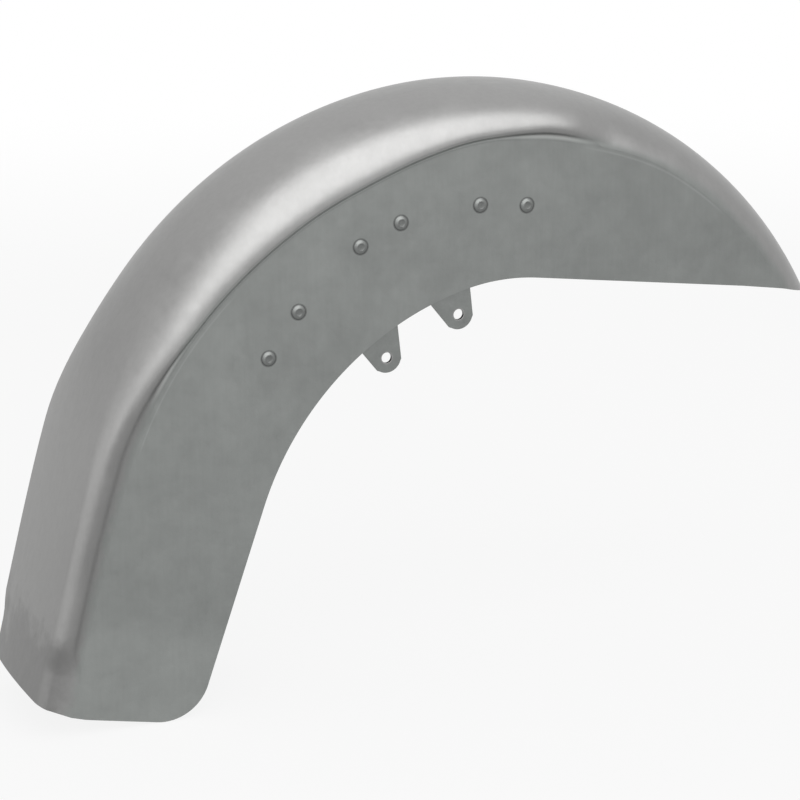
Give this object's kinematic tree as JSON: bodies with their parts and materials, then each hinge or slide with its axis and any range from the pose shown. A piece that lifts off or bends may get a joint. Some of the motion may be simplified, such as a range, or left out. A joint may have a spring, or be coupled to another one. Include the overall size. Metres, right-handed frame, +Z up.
{
  "type": "motorcycle front fender",
  "caption": "Raw steel motorcycle front fender with a raised crown over flat side skirts and a riveted inner bracket with bolt tabs on each side.",
  "frame": {"origin": "the wheel axle's line, midway across the fender", "axes": "+X forward on the motorcycle, +Y to the rider's left, +Z up; the wheel axle runs along Y"},
  "size_m": [0.7044, 0.15, 0.4869],
  "materials": {
    "shell_steel": "raw pressed sheet steel, satin, with faint handling marks",
    "bracket_steel": "raw stamped steel plate, dull",
    "rivet_steel": "raw steel, dull, lightly burnished on the heads"
  },
  "bodies": {
    "root": {"fender_shell": "shell_steel", "bracket_right": "bracket_steel", "bracket_left": "bracket_steel", "rivets_right": "rivet_steel", "rivets_left": "rivet_steel"}
  },
  "joints": []
}
